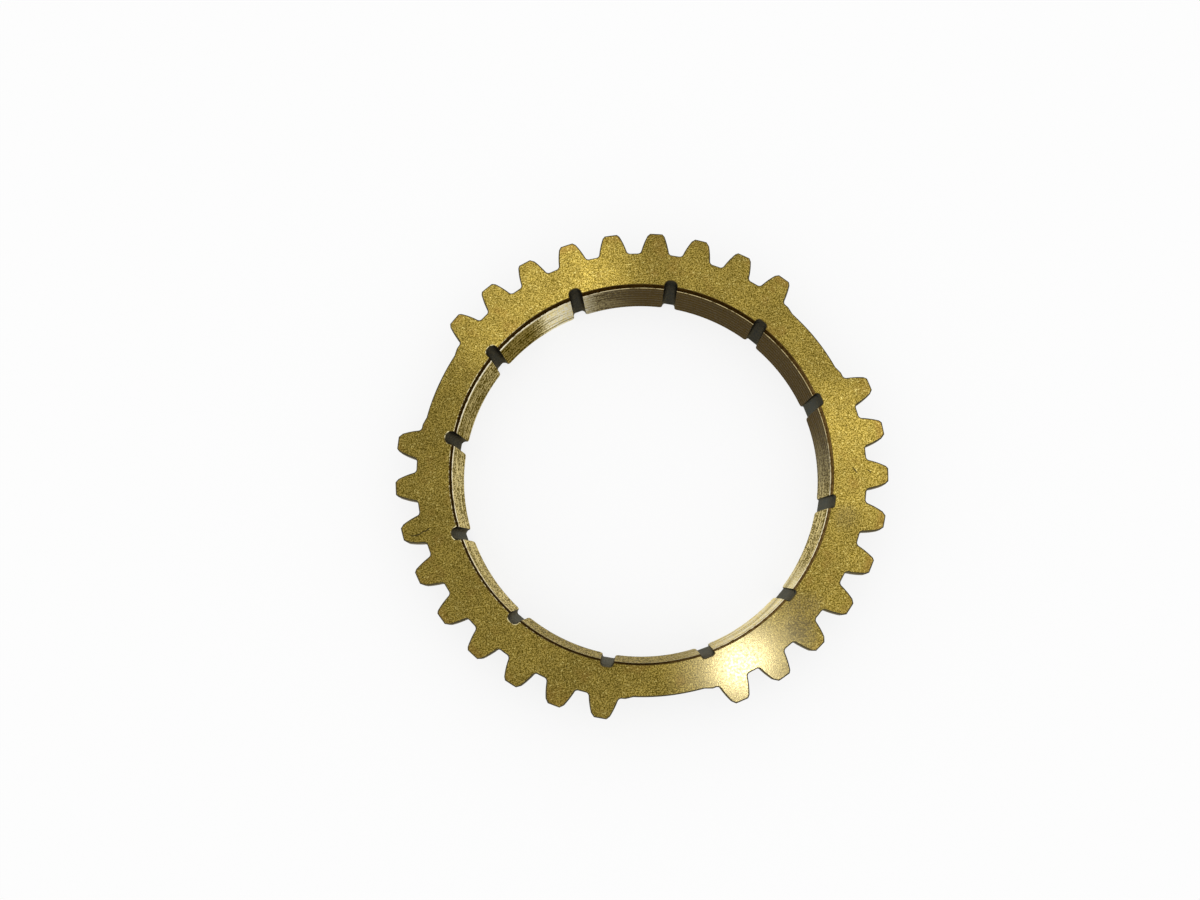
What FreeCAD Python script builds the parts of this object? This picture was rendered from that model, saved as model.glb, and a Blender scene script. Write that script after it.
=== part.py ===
import FreeCAD, Part
import math
import os
import Sketcher

# Synchronizer ring of a manual gearbox: one brass forging with turned and cut faces.
# Millimetres. The axis is Z, the small end of the friction cone is at z = 0 and the side
# that faces the gear is on top. A tooth stands on +Y and a key gap is centred on -Y.

SIZES = (
    ("ring_height", 9.2, "small end to gear side"),
    ("tooth_divisions", 33, "tooth places round the full circle"),
    ("pitch_radius", 37.125, "circle on which the teeth are measured"),
    ("addendum", 1.875, "pitch circle out to the tips"),
    ("dedendum", 1.475, "pitch circle in to the floor of the tooth spaces"),
    ("pressure_angle", 20.0, "flank pressure angle in degrees"),
    ("tooth_thickness", 4.0, "arc on the pitch circle"),
    ("tip_corner", 0.45, "bevel between flank and tip"),
    ("tip_corner_angle", 45.0, "that bevel to the middle of the tooth in degrees"),
    ("tip_edge_break", 0.2, "turned corner at the tips, gear side"),
    ("root_fillet", 0.6, "radius between flank and floor"),
    ("flange_thickness", 4.2, "toothed flange, along the axis"),
    ("blocking_half_angle", 55.0, "blocking face to the axis in degrees"),
    ("ridge_width", 0.3, "flat left on the ridge between two blocking faces"),
    ("key_gaps", 3, "gaps in the teeth, one for each key"),
    ("missing_teeth", 2, "tooth places left empty in a gap"),
    ("gap_floor_drop", 0.35, "floor of a key gap, below that of the tooth spaces"),
    ("gap_floor_width", 11.0, "flat-bottomed stretch of a key gap"),
    ("collar_setback", 2.15, "collar, in from the floor of the tooth spaces"),
    ("collar_edge_break", 0.5, "outer corner of the small end"),
    ("collar_fillet", 0.6, "corner between collar and flange"),
    ("collar_wall", 4.25, "collar in to the friction cone at the small end"),
    ("key_slot_width", 10.5, "slot for a key in the collar"),
    ("key_slot_depth", 1.6, "its floor below the collar"),
    ("key_slot_fillet", 0.5, "radius along the foot of the slot's walls"),
    ("cone_half_angle", 6.5, "friction cone to the axis in degrees"),
    ("cone_edge_break", 0.2, "inner corner of the small end"),
    ("relief_ledge", 0.17, "step from the cone out to the plain relief"),
    ("relief_depth", 1.3, "relief below the gear side"),
    ("relief_edge_break", 0.2, "corner of the relief, gear side"),
    ("oil_grooves", 12, "forged grooves along the cone"),
    ("oil_groove_width", 2.1, "wall to wall"),
    ("oil_groove_depth", 0.67, "floor below the cone at the small end"),
    ("oil_groove_angle", 8.5, "floor to the axis in degrees"),
    ("oil_groove_fillet", 0.55, "rounded corners of the floor"),
    ("oil_groove_turn", 13.3, "first groove from +X in degrees"),
    ("core_shift_x", -0.31, "forged grooves off the turned axis"),
    ("core_shift_y", 0.2, "forged grooves off the turned axis"),
    ("cut_margin", 0.5, "how far a cut starts outside the metal"),
)
SIZE = {name: value for name, value, note in SIZES}

# Radii that follow from the sizes, from the tips of the teeth inwards.
TIP = "pitch_radius + addendum"
ROOT = "pitch_radius - dedendum"
GAP_FLOOR = f"{ROOT} - gap_floor_drop"
COLLAR = f"{ROOT} - collar_setback"
KEY_SLOT_FLOOR = f"{COLLAR} - key_slot_depth"
CONE_SMALL_END = f"{COLLAR} - collar_wall"
OIL_GROOVE_FLOOR = f"{CONE_SMALL_END} + oil_groove_depth"

UP = FreeCAD.Vector(0, 0, 1)
ORIGIN_POINT = (-1, 1)
START, END, CENTRE = range(1, 4)
FIRST_SIDE, OTHER_SIDE = 1, -1


def amount(total):
    """What a sum of named sizes comes to."""
    words = total.split()
    signs = [1] + [1 if word == "+" else -1 for word in words[1::2]]
    return sum(sign * SIZE[name] for sign, name in zip(signs, words[::2]))


def formula(total):
    """The same sum, written with the sheet's own names."""
    return " ".join(word if word in "+-" else f"Sizes.{word}" for word in total.split())


def make_sheet(doc):
    """The driving dimensions, one named cell each."""
    sheet = doc.addObject("Spreadsheet::Sheet", "Sizes")
    for row, (name, value, note) in enumerate(SIZES, start=1):
        sheet.set(f"A{row}", name)
        sheet.set(f"B{row}", str(value))
        sheet.setAlias(f"B{row}", name)
        sheet.set(f"C{row}", note)
    doc.recompute()
    return sheet


def polar(radius, degrees):
    """A point of a sketch, its angle counted clockwise from the sketch's own Y axis."""
    turn = math.radians(degrees)
    return FreeCAD.Vector(radius * math.sin(turn), radius * math.cos(turn), 0)


def crossing(centre_a, radius_a, centre_b, radius_b, side):
    """Where two circles cross, on the left (side 1) or right (side -1) of the way from a to b."""
    way = centre_b - centre_a
    gap = way.Length
    along = (gap**2 + radius_a**2 - radius_b**2) / (2 * gap)
    across = math.sqrt(radius_a**2 - along**2) * side
    way.normalize()
    return centre_a + way * along + FreeCAD.Vector(-way.y, way.x, 0) * across


def towards(centre, target, radius):
    """The point at a radius round centre, in the direction of target."""
    way = target - centre
    way.normalize()
    return centre + way * radius


class Draft:
    """A sketch on one of the body's own origin planes, with helpers to draw and size it."""

    def __init__(self, body, name, plane="XY_Plane", turn=0.0):
        self.sketch = body.newObject("Sketcher::SketchObject", name)
        planes = {item.Role: item for item in body.Origin.OriginFeatures}
        self.sketch.AttachmentSupport = [(planes[plane], "")]
        self.sketch.MapMode = "FlatFace"
        self.place(FreeCAD.Vector(0, 0, 0), turn)

    def place(self, base, turn=0.0):
        self.sketch.AttachmentOffset = FreeCAD.Placement(base, FreeCAD.Rotation(UP, turn))

    def line(self, start, end):
        return self.sketch.addGeometry(Part.LineSegment(start, end))

    def guide(self, end):
        """A construction line from the origin."""
        line = Part.LineSegment(FreeCAD.Vector(0, 0, 0), end)
        index = self.sketch.addGeometry(line, True)
        self.add("Coincident", index, START, *ORIGIN_POINT)
        return index

    def arc(self, centre, start, end):
        """An arc that runs anticlockwise from start to end."""
        circle = Part.Circle(centre, UP, (start - centre).Length)
        span = (circle.parameter(start), circle.parameter(end))
        return self.sketch.addGeometry(Part.ArcOfCircle(circle, *span))

    def add(self, kind, *where):
        return self.sketch.addConstraint(Sketcher.Constraint(kind, *where))

    def size(self, kind, where, expression, value):
        """A dimension that takes its value from the sheet; value only starts the solver."""
        index = self.add(kind, *where, value)
        name = f"size_{index}"
        self.sketch.renameConstraint(index, name)
        self.sketch.setExpression(f"Constraints.{name}", expression)
        return index

    def closed_lines(self, corners):
        """Straight edges through the corners and back to the first."""
        edges = []
        for start, end in zip(corners, corners[1:] + corners[:1]):
            edges.append(self.line(FreeCAD.Vector(*start, 0), FreeCAD.Vector(*end, 0)))
        for edge, follower in zip(edges, edges[1:] + edges[:1]):
            self.add("Coincident", edge, END, follower, START)
        return edges


def revolve_blank(body):
    """The turned blank: toothed flange, collar, friction cone and relief in one section."""
    height = SIZE["ring_height"]
    flange_back = height - SIZE["flange_thickness"]
    shoulder = height - SIZE["relief_depth"]
    cone_rise = shoulder - SIZE["cone_edge_break"]
    slope = math.tan(math.radians(SIZE["cone_half_angle"]))
    small, tip, collar = amount(CONE_SMALL_END), amount(TIP), amount(COLLAR)
    cone_top = small + cone_rise * slope
    relief = cone_top + SIZE["relief_ledge"]
    cone_break, relief_break = SIZE["cone_edge_break"], SIZE["relief_edge_break"]
    tip_break, collar_break = SIZE["tip_edge_break"], SIZE["collar_edge_break"]

    draft = Draft(body, "blank_section", "XZ_Plane")
    corners = [
        (small + cone_break, 0),
        (small, cone_break),
        (cone_top, shoulder),
        (relief, shoulder),
        (relief, height - relief_break),
        (relief + relief_break, height),
        (tip - tip_break, height),
        (tip, height - tip_break),
        (tip, flange_back),
        (collar, flange_back),
        (collar, collar_break),
        (collar - collar_break, 0),
    ]
    edges = draft.closed_lines(corners)
    (cone_corner, cone, ledge, wall, relief_corner, face,
     tip_corner, rim, back, side, side_corner, base) = edges

    for flat in (ledge, face, back, base):
        draft.add("Horizontal", flat)
    for upright in (wall, rim, side):
        draft.add("Vertical", upright)
    draft.add("PointOnObject", base, START, -1)

    # DistanceX and DistanceY run from the first point to the second.
    across, up = "DistanceX", "DistanceY"
    draft.size(across, (*ORIGIN_POINT, cone, START), formula(CONE_SMALL_END), small)
    draft.size(across, (cone, START, cone_corner, START), "Sizes.cone_edge_break", cone_break)
    draft.size(up, (cone_corner, START, cone, START), "Sizes.cone_edge_break", cone_break)
    draft.size("Angle", (cone,), "90 - Sizes.cone_half_angle", math.atan2(1, slope))
    draft.size(up, (ledge, START, face, START), "Sizes.relief_depth", SIZE["relief_depth"])
    draft.size(across, (ledge, START, ledge, END), "Sizes.relief_ledge", relief - cone_top)
    draft.size(across, (wall, END, face, START), "Sizes.relief_edge_break", relief_break)
    draft.size(up, (wall, END, face, START), "Sizes.relief_edge_break", relief_break)
    draft.size(up, (*ORIGIN_POINT, face, START), "Sizes.ring_height", height)
    draft.size(across, (face, END, rim, START), "Sizes.tip_edge_break", tip_break)
    draft.size(up, (rim, START, face, END), "Sizes.tip_edge_break", tip_break)
    draft.size(across, (*ORIGIN_POINT, rim, START), formula(TIP), tip)
    draft.size(up, (rim, END, face, END), "Sizes.flange_thickness", height - flange_back)
    draft.size(across, (*ORIGIN_POINT, side, START), formula(COLLAR), collar)
    draft.size(across, (base, START, side, END), "Sizes.collar_edge_break", collar_break)
    draft.size(up, (base, START, side, END), "Sizes.collar_edge_break", collar_break)

    blank = body.newObject("PartDesign::Revolution", "blank")
    blank.Profile = draft.sketch
    blank.ReferenceAxis = (draft.sketch, ["V_Axis"])
    blank.Angle = 360
    return blank


def round_collar_foot(body, blank):
    """The fillet where the collar meets the back of the flange."""
    level = SIZE["ring_height"] - SIZE["flange_thickness"]
    names = []
    for number, edge in enumerate(blank.Shape.Edges, start=1):
        curve = edge.Curve
        if isinstance(curve, Part.Circle):
            if abs(curve.Radius - amount(COLLAR)) < 1e-6:
                if abs(curve.Center.z - level) < 1e-6:
                    names.append(f"Edge{number}")
    fillet = body.newObject("PartDesign::Fillet", "collar_foot")
    fillet.Base = (blank, names)
    fillet.Radius = SIZE["collar_fillet"]
    fillet.setExpression("Radius", "Sizes.collar_fillet")
    return fillet


def cut_pocket(body, name, draft, length=None):
    """A straight cut from a sketch: to a length named by a formula, or right through."""
    pocket = body.newObject("PartDesign::Pocket", name)
    pocket.Profile = draft.sketch
    pocket.Reversed = True
    if length:
        pocket.Type = "Length"
        pocket.setExpression("Length", length)
    else:
        pocket.Type = "ThroughAll"
    return pocket


def repeat_round(body, name, feature, axis, count):
    """Copies of a feature spread evenly over the full circle; count is a sheet name."""
    pattern = body.newObject("PartDesign::PolarPattern", name)
    pattern.Originals = [feature]
    pattern.Axis = axis
    pattern.Angle = 360
    pattern.setExpression("Occurrences", f"Sizes.{count}")
    body.Tip = pattern
    return pattern


def draw_tooth_space(body):
    """The space between two teeth, with each flank as one arc struck from the base circle."""
    pitch, root, tip = SIZE["pitch_radius"], amount(ROOT), amount(TIP)
    pressure, fillet = SIZE["pressure_angle"], SIZE["root_fillet"]
    base = pitch * math.cos(math.radians(pressure))
    flank_radius = pitch * math.sin(math.radians(pressure))
    half_pitch = 180 / SIZE["tooth_divisions"]
    half_tooth = math.degrees(SIZE["tooth_thickness"] / (2 * pitch))
    centre_angle = half_pitch - half_tooth + pressure
    bevel_start, outside = tip - SIZE["tip_corner"], tip + SIZE["cut_margin"]
    bevel_turn = 90 - SIZE["tip_corner_angle"] + half_pitch
    centre_formula = ("180 / Sizes.tooth_divisions + Sizes.pressure_angle"
                      " - 90 * Sizes.tooth_thickness / (pi * Sizes.pitch_radius)")
    middle = FreeCAD.Vector(0, 0, 0)

    draft = Draft(body, "tooth_space_outline", turn=180)
    feet, bevels = {}, {}
    for side in (FIRST_SIDE, OTHER_SIDE):
        centre = polar(base, side * centre_angle)
        corner = crossing(middle, root + fillet, centre, flank_radius + fillet, side)
        foot = towards(middle, corner, root)
        joint = towards(corner, centre, fillet)
        shoulder = crossing(middle, bevel_start, centre, flank_radius, side)
        rise = math.radians(90 - side * bevel_turn)
        lean = FreeCAD.Vector(math.cos(rise), math.sin(rise), 0)
        reach = lean.dot(shoulder)
        run = math.sqrt(reach**2 + outside**2 - bevel_start**2) - reach

        if side == FIRST_SIDE:
            flank = draft.arc(centre, shoulder, joint)
            curve = draft.arc(corner, foot, joint)
            flank_top, flank_foot, curve_top, curve_foot = START, END, END, START
        else:
            flank = draft.arc(centre, joint, shoulder)
            curve = draft.arc(corner, joint, foot)
            flank_top, flank_foot, curve_top, curve_foot = END, START, START, END
        bevel = draft.line(shoulder, shoulder + lean * run)
        feet[side] = (curve, curve_foot, foot)
        bevels[side] = (bevel, shoulder + lean * run)

        guide = draft.guide(centre)
        draft.add("Coincident", guide, END, flank, CENTRE)
        turned = f"90 - {side} * ({centre_formula})"
        draft.size("Angle", (guide,), turned, math.radians(90 - side * centre_angle))
        draft.size("Distance", (guide,), "Sizes.pitch_radius * cos(Sizes.pressure_angle)", base)
        draft.size("Radius", (flank,), "Sizes.pitch_radius * sin(Sizes.pressure_angle)",
                   flank_radius)
        draft.add("Tangent", flank, flank_foot, curve, curve_top)
        draft.size("Radius", (curve,), "Sizes.root_fillet", fillet)
        draft.add("Coincident", flank, flank_top, bevel, START)
        draft.size("Distance", (*ORIGIN_POINT, bevel, START),
                   f"{formula(TIP)} - Sizes.tip_corner", bevel_start)
        bevel_formula = "(90 - Sizes.tip_corner_angle + 180 / Sizes.tooth_divisions)"
        draft.size("Angle", (bevel,), f"90 - {side} * {bevel_formula}", rise)
        draft.size("Distance", (*ORIGIN_POINT, bevel, END),
                   f"{formula(TIP)} + Sizes.cut_margin", outside)

    left, right = feet[OTHER_SIDE], feet[FIRST_SIDE]
    floor = draft.arc(middle, right[2], left[2])
    draft.add("Coincident", floor, CENTRE, *ORIGIN_POINT)
    draft.size("Radius", (floor,), formula(ROOT), root)
    draft.add("Tangent", floor, START, right[0], right[1])
    draft.add("Tangent", floor, END, left[0], left[1])
    lid = draft.line(bevels[FIRST_SIDE][1], bevels[OTHER_SIDE][1])
    draft.add("Coincident", lid, START, bevels[FIRST_SIDE][0], END)
    draft.add("Coincident", lid, END, bevels[OTHER_SIDE][0], END)
    return draft


def draw_blocking_faces(body):
    """What is cut from both sides of a tooth's ridge, seen along the tooth from outside."""
    height, thickness = SIZE["ring_height"], SIZE["flange_thickness"]
    root, ridge = amount(ROOT), SIZE["ridge_width"] / 2
    back, margin = height - thickness, SIZE["cut_margin"]
    reach = math.pi * root / SIZE["tooth_divisions"]
    rise = (reach - ridge) / math.tan(math.radians(SIZE["blocking_half_angle"]))
    half_pitch = f"pi * ({formula(ROOT)}) / Sizes.tooth_divisions"

    draft = Draft(body, "blocking_faces_outline", "XZ_Plane")
    draft.place(FreeCAD.Vector(0, 0, -root))
    draft.sketch.setExpression("AttachmentOffset.Base.z", f"-({formula(ROOT)})")
    corners = [
        (reach, back - margin),
        (reach, back + rise),
        (ridge, back),
        (-ridge, back),
        (-reach, back + rise),
        (-reach, back - margin),
    ]
    edges = draft.closed_lines(corners)
    right, slope, flat, other_slope, left, bottom = edges
    for upright in (right, left):
        draft.add("Vertical", upright)
    draft.add("Horizontal", bottom)
    draft.add("Symmetric", flat, START, flat, END, -2)
    draft.add("Symmetric", slope, START, other_slope, END, -2)
    draft.size("Distance", (flat,), "Sizes.ridge_width", 2 * ridge)
    draft.size("DistanceY", (*ORIGIN_POINT, flat, START),
               "Sizes.ring_height - Sizes.flange_thickness", back)
    draft.size("DistanceY", (bottom, END, flat, START), "Sizes.cut_margin", margin)
    draft.size("DistanceX", (bottom, START, bottom, END),
               f"2 * {half_pitch}", 2 * reach)
    draft.size("DistanceY", (slope, END, slope, START),
               f"({half_pitch} - Sizes.ridge_width / 2) / tan(Sizes.blocking_half_angle)", rise)
    return draft


def draw_key_gap(body):
    """The gap in the teeth: a low floor with a ramp to the tooth spaces on both sides."""
    floor_radius, width = amount(GAP_FLOOR), SIZE["gap_floor_width"]
    root, top = amount(ROOT), amount(TIP) + SIZE["cut_margin"]
    half_gap = (SIZE["missing_teeth"] * 180) / SIZE["tooth_divisions"]
    floor_end = math.degrees(math.asin(width / (2 * floor_radius)))
    draft = Draft(body, "key_gap_outline", turn=180)
    floor = draft.arc(FreeCAD.Vector(0, 0, 0), polar(floor_radius, floor_end),
                      polar(floor_radius, -floor_end))
    draft.add("Coincident", floor, CENTRE, *ORIGIN_POINT)
    draft.size("Radius", (floor,), formula(GAP_FLOOR), floor_radius)
    draft.add("Symmetric", floor, START, floor, END, -2)
    draft.size("DistanceX", (floor, END, floor, START), "Sizes.gap_floor_width", width)

    walls = {}
    for side, floor_point in ((FIRST_SIDE, START), (OTHER_SIDE, END)):
        low = polar(floor_radius, side * floor_end)
        shelf = polar(root, side * half_gap)
        ramp = draft.line(low, shelf)
        wall = draft.line(shelf, FreeCAD.Vector(shelf.x, top, 0))
        guide = draft.guide(shelf)
        draft.add("Coincident", ramp, START, floor, floor_point)
        draft.add("Coincident", ramp, END, wall, START)
        draft.add("Coincident", guide, END, wall, START)
        turned = f"90 - {side} * Sizes.missing_teeth * 180 / Sizes.tooth_divisions"
        draft.size("Angle", (guide,), turned, math.radians(90 - side * half_gap))
        draft.size("Distance", (guide,), formula(ROOT), root)
        draft.add("Vertical", wall)
        walls[side] = (wall, shelf.x)
    lid = draft.line(FreeCAD.Vector(walls[FIRST_SIDE][1], top, 0),
                     FreeCAD.Vector(walls[OTHER_SIDE][1], top, 0))
    draft.add("Coincident", lid, START, walls[FIRST_SIDE][0], END)
    draft.add("Coincident", lid, END, walls[OTHER_SIDE][0], END)
    draft.add("Horizontal", lid)
    draft.size("DistanceY", (*ORIGIN_POINT, lid, START),
               f"{formula(TIP)} + Sizes.cut_margin", top)
    return draft


def draw_key_slot(body):
    """The slot in the collar that drives and centres a key, open to the small end."""
    width, floor_radius = SIZE["key_slot_width"], amount(KEY_SLOT_FLOOR)
    fillet, top = SIZE["key_slot_fillet"], amount(TIP)
    across = width / 2 - fillet
    rise = math.sqrt((floor_radius + fillet) ** 2 - across**2)
    draft = Draft(body, "key_slot_outline", turn=180)
    middle = FreeCAD.Vector(0, 0, 0)
    corners = {side: FreeCAD.Vector(side * across, rise, 0) for side in (1, -1)}
    feet = {side: towards(middle, corner, floor_radius) for side, corner in corners.items()}
    floor = draft.arc(middle, feet[FIRST_SIDE], feet[OTHER_SIDE])
    draft.add("Coincident", floor, CENTRE, *ORIGIN_POINT)
    draft.size("Radius", (floor,), formula(KEY_SLOT_FLOOR), floor_radius)

    walls = {}
    for side, floor_point in ((FIRST_SIDE, START), (OTHER_SIDE, END)):
        corner = corners[side]
        wall_foot = corner + FreeCAD.Vector(side * fillet, 0, 0)
        if side == FIRST_SIDE:
            curve = draft.arc(corner, feet[side], wall_foot)
            curve_foot, curve_top = START, END
        else:
            curve = draft.arc(corner, wall_foot, feet[side])
            curve_foot, curve_top = END, START
        wall = draft.line(wall_foot, FreeCAD.Vector(wall_foot.x, top, 0))
        draft.add("Vertical", wall)
        draft.add("Tangent", curve, curve_foot, floor, floor_point)
        draft.add("Tangent", curve, curve_top, wall, START)
        draft.size("Radius", (curve,), "Sizes.key_slot_fillet", fillet)
        walls[side] = wall
    lid = draft.line(FreeCAD.Vector(width / 2, top, 0), FreeCAD.Vector(-width / 2, top, 0))
    draft.add("Coincident", lid, START, walls[FIRST_SIDE], END)
    draft.add("Coincident", lid, END, walls[OTHER_SIDE], END)
    draft.add("Symmetric", lid, START, lid, END, -2)
    draft.size("DistanceX", (lid, END, lid, START), "Sizes.key_slot_width", width)
    draft.size("DistanceY", (*ORIGIN_POINT, lid, START), formula(TIP), top)
    return draft


def draw_oil_groove(body):
    """The outline of a forged oil groove at the small end, about the forging's own axis."""
    width, fillet = SIZE["oil_groove_width"], SIZE["oil_groove_fillet"]
    floor = amount(OIL_GROOVE_FLOOR)
    mouth = amount(CONE_SMALL_END) - 2 * SIZE["cut_margin"]
    draft = Draft(body, "oil_groove_outline")
    shift = FreeCAD.Vector(SIZE["core_shift_x"], SIZE["core_shift_y"], 0)
    draft.place(shift, SIZE["oil_groove_turn"] - 90)
    draft.sketch.setExpression("AttachmentOffset.Base.x", "Sizes.core_shift_x")
    draft.sketch.setExpression("AttachmentOffset.Base.y", "Sizes.core_shift_y")
    draft.sketch.setExpression("AttachmentOffset.Rotation.Angle", "Sizes.oil_groove_turn - 90")

    crown = draft.line(FreeCAD.Vector(width / 2 - fillet, floor, 0),
                       FreeCAD.Vector(fillet - width / 2, floor, 0))
    mouth_line = draft.line(FreeCAD.Vector(-width / 2, mouth, 0),
                            FreeCAD.Vector(width / 2, mouth, 0))
    draft.add("Horizontal", crown)
    draft.add("Symmetric", mouth_line, START, mouth_line, END, -2)
    draft.size("DistanceX", (mouth_line, START, mouth_line, END),
               "Sizes.oil_groove_width", width)
    draft.size("DistanceY", (*ORIGIN_POINT, mouth_line, START),
               f"{formula(CONE_SMALL_END)} - 2 * Sizes.cut_margin", mouth)
    draft.size("DistanceY", (*ORIGIN_POINT, crown, START), formula(OIL_GROOVE_FLOOR), floor)

    for side, crown_point, mouth_point in ((FIRST_SIDE, START, END), (OTHER_SIDE, END, START)):
        centre = FreeCAD.Vector(side * (width / 2 - fillet), floor - fillet, 0)
        top = centre + FreeCAD.Vector(0, fillet, 0)
        foot = centre + FreeCAD.Vector(side * fillet, 0, 0)
        if side == FIRST_SIDE:
            curve = draft.arc(centre, foot, top)
            curve_foot, curve_top = START, END
        else:
            curve = draft.arc(centre, top, foot)
            curve_foot, curve_top = END, START
        wall = draft.line(foot, FreeCAD.Vector(foot.x, mouth, 0))
        draft.add("Vertical", wall)
        draft.add("Coincident", wall, END, mouth_line, mouth_point)
        draft.add("Tangent", curve, curve_foot, wall, START)
        draft.add("Tangent", curve, curve_top, crown, crown_point)
        draft.size("Radius", (curve,), "Sizes.oil_groove_fillet", fillet)
    return draft


def cut_oil_groove(body, draft):
    """The groove runs up the bore and leans outwards by its own angle."""
    pocket = body.newObject("PartDesign::Pocket", "oil_groove")
    pocket.Profile = draft.sketch
    pocket.Type = "ThroughAll"
    lean = math.tan(math.radians(SIZE["oil_groove_angle"]))
    turn = math.radians(SIZE["oil_groove_turn"])
    pocket.UseCustomVector = True
    pocket.Direction = FreeCAD.Vector(lean * math.cos(turn), lean * math.sin(turn), 1)
    lean_formula = "tan(Sizes.oil_groove_angle)"
    pocket.setExpression("Direction.x", f"{lean_formula} * cos(Sizes.oil_groove_turn)")
    pocket.setExpression("Direction.y", f"{lean_formula} * sin(Sizes.oil_groove_turn)")
    return pocket


def build_ring(doc):
    """The ring, in the order in which the real one is made: first forged, then cut."""
    body = doc.addObject("PartDesign::Body", "synchro_ring")
    body.Label = "synchro_ring"
    axis = next(item for item in body.Origin.OriginFeatures if item.Role == "Z_Axis")
    middle = (axis, [""])

    blank = revolve_blank(body)
    doc.recompute()
    round_collar_foot(body, blank)

    outline = draw_oil_groove(body)
    groove = cut_oil_groove(body, outline)
    repeat_round(body, "all_oil_grooves", groove, (outline.sketch, ["N_Axis"]), "oil_grooves")

    collar_length = "Sizes.ring_height - Sizes.flange_thickness"
    slot = cut_pocket(body, "key_slot", draw_key_slot(body), collar_length)
    repeat_round(body, "all_key_slots", slot, middle, "key_gaps")

    space = cut_pocket(body, "tooth_space", draw_tooth_space(body))
    repeat_round(body, "all_tooth_spaces", space, middle, "tooth_divisions")

    faces = cut_pocket(body, "blocking_faces", draw_blocking_faces(body))
    faces.Reversed = False
    repeat_round(body, "all_blocking_faces", faces, middle, "tooth_divisions")

    gap = cut_pocket(body, "key_gap", draw_key_gap(body))
    repeat_round(body, "all_key_gaps", gap, middle, "key_gaps")
    doc.recompute()
    return body


def check(doc, body):
    """Stops when a feature failed, a sketch is loose, a cut took nothing or a shape is bad."""
    for item in doc.Objects:
        if "Invalid" in item.State or "Error" in item.State:
            raise RuntimeError(f"{item.Name} failed: {item.State}")
        if item.TypeId == "Sketcher::SketchObject" and not item.FullyConstrained:
            raise RuntimeError(f"{item.Name} is not fully constrained")
    solids = [item for item in body.Group if item.isDerivedFrom("PartDesign::Feature")]
    for before, after in zip(solids, solids[1:]):
        if after.isDerivedFrom("PartDesign::Fillet"):
            continue
        if not after.Shape.Volume < before.Shape.Volume:
            raise RuntimeError(f"{after.Name} cut nothing")
    shape = body.Shape
    if shape.isNull() or not shape.isValid() or len(shape.Solids) != 1:
        raise RuntimeError(f"{body.Label} is not one valid solid")


def main():
    doc = FreeCAD.newDocument("synchronizer_ring")
    make_sheet(doc)
    ring = build_ring(doc)
    check(doc, ring)
    os.makedirs("parts", exist_ok=True)
    ring.Shape.exportStep(f"parts/{ring.Label}.step")
    print(f"{ring.Label}: {ring.Shape.Volume:.1f} mm3, {len(ring.Shape.Faces)} faces")


main()
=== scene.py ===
import math
import random

import bmesh
import bpy
from mathutils import Matrix, Vector, noise


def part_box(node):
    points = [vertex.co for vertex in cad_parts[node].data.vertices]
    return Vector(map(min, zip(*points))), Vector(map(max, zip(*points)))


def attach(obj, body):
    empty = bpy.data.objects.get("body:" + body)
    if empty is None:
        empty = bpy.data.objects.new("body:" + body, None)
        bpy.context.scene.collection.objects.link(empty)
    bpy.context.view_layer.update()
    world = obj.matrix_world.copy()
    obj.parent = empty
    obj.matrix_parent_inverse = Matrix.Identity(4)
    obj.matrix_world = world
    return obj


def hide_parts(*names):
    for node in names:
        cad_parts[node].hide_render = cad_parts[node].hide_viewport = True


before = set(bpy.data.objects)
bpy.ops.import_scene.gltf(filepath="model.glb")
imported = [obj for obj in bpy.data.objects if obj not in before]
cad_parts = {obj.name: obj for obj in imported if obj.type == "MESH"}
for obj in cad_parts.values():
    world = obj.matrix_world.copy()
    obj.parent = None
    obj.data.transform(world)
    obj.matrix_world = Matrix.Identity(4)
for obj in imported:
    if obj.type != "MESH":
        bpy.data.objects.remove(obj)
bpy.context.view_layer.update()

# Synchronizer ring. Lengths are millimetres and angles degrees unless a line says otherwise.
# The axis is Z with the small end of the cone at z = 0 and the side towards the gear on top.
# Angles round the ring count anticlockwise from +X, seen from the gear side.
MM = 0.001
RING = "synchro_ring"
ring_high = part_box(RING)[1]

HEIGHT = ring_high.z / MM
TIP_RADIUS = ring_high.y / MM

# Teeth
TOOTH_DIVISIONS = 33
PITCH_RADIUS = 37.125
ROOT_RADIUS = 35.65
PRESSURE_ANGLE = 20.0
TOOTH_THICKNESS = 4.0
TIP_CORNER = 0.45
ROOT_FILLET = 0.6
FLANGE_BACK = 5.0
BLOCKING_HALF_ANGLE = 55.0
RIDGE_WIDTH = 0.3

# Edges of the teeth: the round on the gear side with the flat band beside it, the broken edge
# at the back, and how far single corners and widths differ from the drawing
FRONT_ROUND = 0.2
EDGE_BAND = 0.08
BACK_EDGE = 0.12
FORGED_CORNER_SPREAD = 0.14
FORGED_THICKNESS_SPREAD = 0.05

# Steps of the mesh along a flank, from its front to its back, and on each curve
FLANK_STEPS = 5
FLANK_SHARES = (0.0, 0.33, 0.67, 1.0)
CURVE_STEPS = 3

# Collar, with the levels at which its wall is divided
COLLAR_RADIUS = 33.5
COLLAR_EDGE = 0.5
COLLAR_FILLET = 0.6
COLLAR_FILLET_STEPS = 6
COLLAR_LEVELS = (3.6, 2.6, 1.6, 0.6)

# Gaps in the teeth, and the slots for the keys below them
KEY_GAPS = 3
FIRST_GAP = 270.0
MISSING_TEETH = 2
GAP_FLOOR_RADIUS = 35.3
GAP_FLOOR_WIDTH = 11.0
KEY_SLOT_WIDTH = 10.5
KEY_SLOT_FLOOR_RADIUS = 31.9
KEY_SLOT_FILLET = 0.5
KEY_SLOT_EDGE = 0.15

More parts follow.
